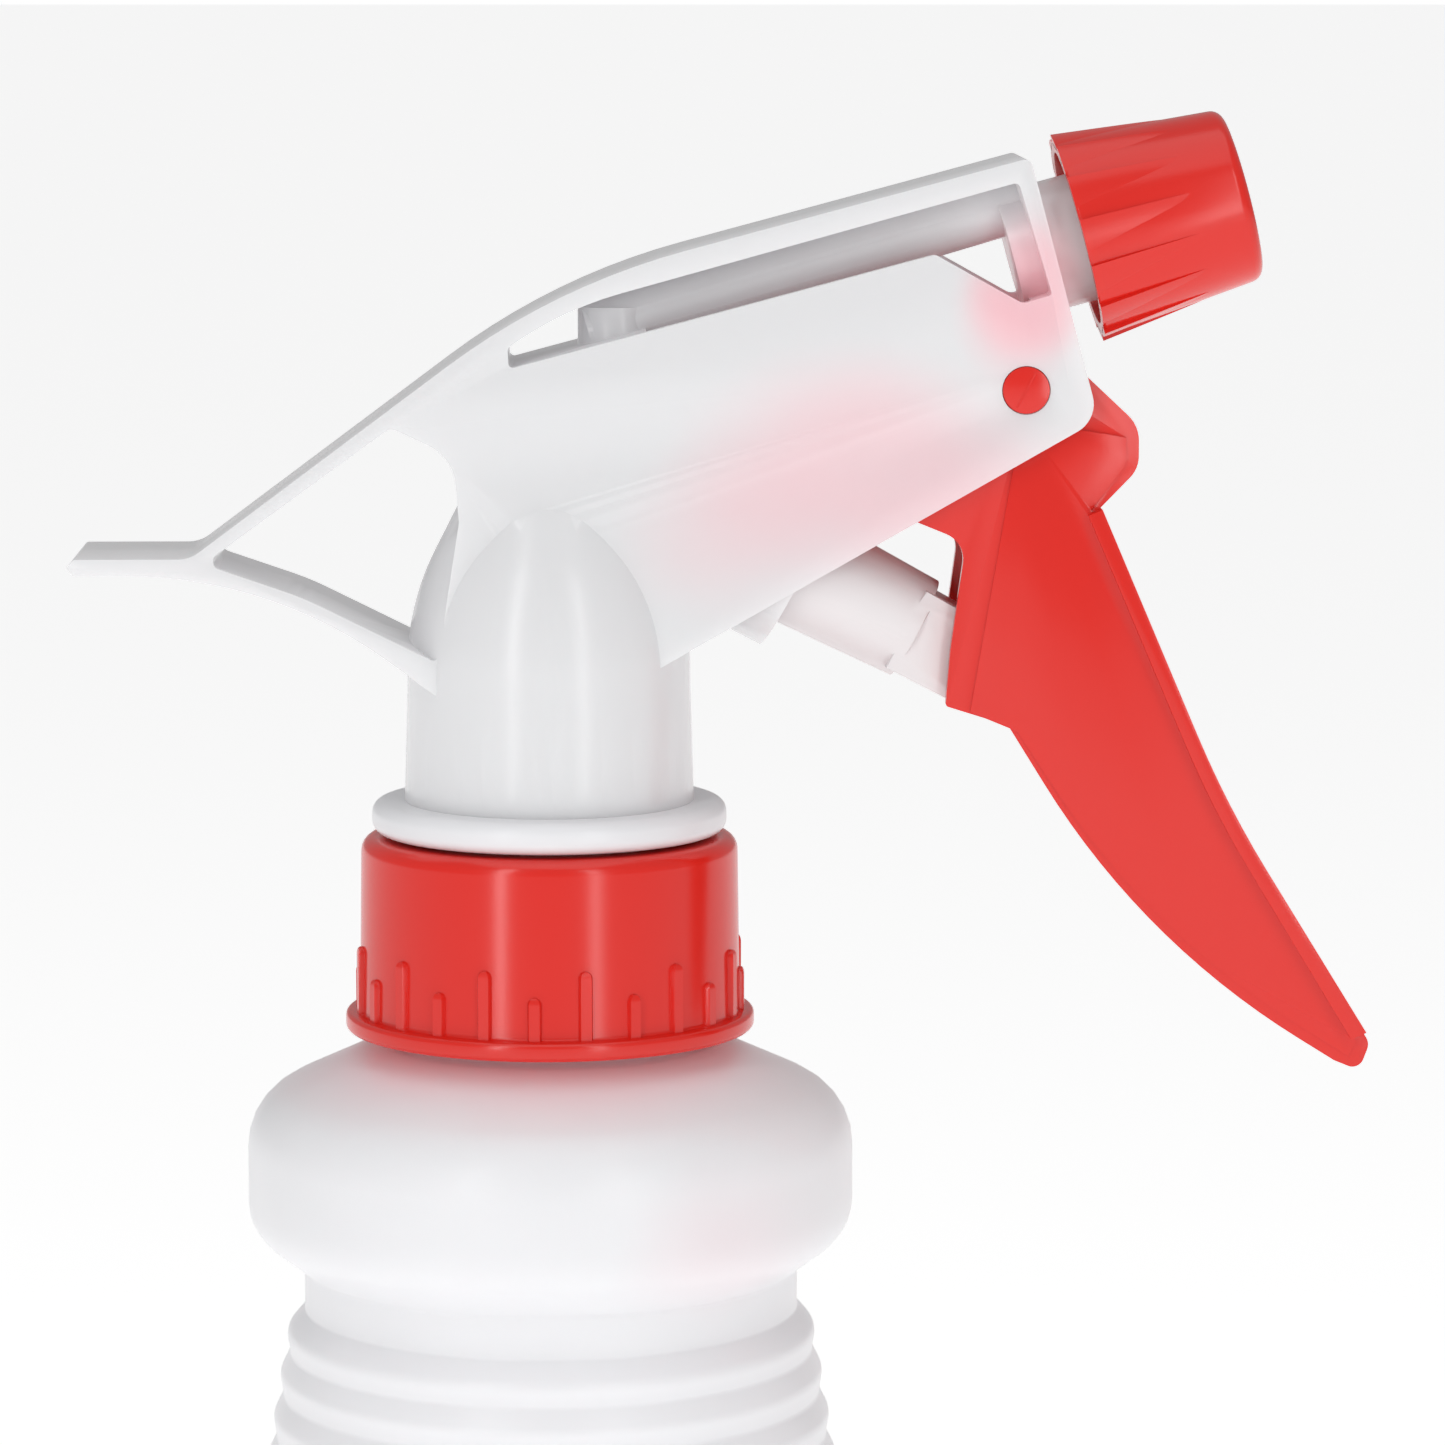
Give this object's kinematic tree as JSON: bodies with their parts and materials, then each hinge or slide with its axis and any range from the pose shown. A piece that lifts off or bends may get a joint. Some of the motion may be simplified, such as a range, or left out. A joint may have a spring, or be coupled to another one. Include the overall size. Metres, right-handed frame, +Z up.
{
  "type": "spray bottle",
  "caption": "Trigger spray head with a turning nozzle cap, screwed by its collar on a ribbed plastic bottle with a dip tube.",
  "frame": {"origin": "centre of the bottle's standing ring, on the surface that it stands on", "axes": "+Z up along the bottle, +X towards the nozzle, +Y to the left of someone looking along the spray"},
  "size_m": [0.1123, 0.072, 0.2447],
  "materials": {
    "bottle_plastic": "satin",
    "housing_plastic": "satin",
    "valve_plastic": "satin",
    "red_plastic": "gloss",
    "piston_plastic": "satin",
    "tube_plastic": "satin",
    "seal_rubber": "matte",
    "spring_steel": "brushed"
  },
  "bodies": {
    "bottle": {"bottle": "bottle_plastic"},
    "head": {"housing": "housing_plastic", "valve_base": "valve_plastic", "neck_gasket": "seal_rubber", "dip_tube": "tube_plastic", "return_spring": "spring_steel", "outlet_spring": "spring_steel", "swirl_insert": "piston_plastic"},
    "collar": {"collar": "red_plastic"},
    "trigger": {"trigger": "red_plastic"},
    "piston": {"piston": "piston_plastic"},
    "inlet_ball": {"inlet_ball": "spring_steel"},
    "outlet_ball": {"outlet_ball": "spring_steel"},
    "nozzle_seal": {"nozzle_seal": "seal_rubber"},
    "nozzle_cap": {"nozzle_cap": "red_plastic"}
  },
  "joints": [
    {"name": "head_lift", "type": "slide", "parent": "bottle", "child": "head", "axis": [0, 0, 1], "range_m": [0, 0.00635]},
    {"name": "collar_turn", "type": "hinge", "parent": "head", "child": "collar", "pos_m": [0, 0, 0.165], "axis": [0, 0, 1], "range_deg": [0, 540]},
    {"name": "trigger_pull", "type": "hinge", "parent": "head", "child": "trigger", "pos_m": [0.04084, 0, 0.22121], "axis": [0, 1, 0], "range_deg": [0, 25], "stiffness_Nm_per_rad": 0.6, "springref_deg": -11.46, "deforming": ["return_spring"]},
    {"name": "piston_slide", "type": "slide", "parent": "head", "child": "piston", "axis": [-0.8878, 0, 0.4602], "range_m": [0, 0.01046]},
    {"name": "nozzle_advance", "type": "slide", "parent": "head", "child": "nozzle_seal", "axis": [0.9659, 0, 0.2588], "range_m": [0, 0.0015]},
    {"name": "nozzle_turn", "type": "hinge", "parent": "nozzle_seal", "child": "nozzle_cap", "pos_m": [0.0457, 0, 0.23378], "axis": [0.9659, 0, 0.2588], "range_deg": [0, 360]},
    {"name": "inlet_ball_lift", "type": "slide", "parent": "head", "child": "inlet_ball", "axis": [0, 0, 1], "range_m": [0, 0.0012]},
    {"name": "outlet_ball_lift", "type": "slide", "parent": "head", "child": "outlet_ball", "axis": [0.9659, 0, 0.2588], "range_m": [0, 0.0008], "stiffness_N_per_m": 20, "springref_m": -0.001, "deforming": ["outlet_spring"]}
  ],
  "couplings": [
    {"joint": "collar_turn", "follows": "head_lift", "rad_per_m": 1484.4},
    {"joint": "piston_slide", "follows": "trigger_pull", "m_per_rad": 0.023982},
    {"joint": "nozzle_turn", "follows": "nozzle_advance", "rad_per_m": 4188.7}
  ]
}
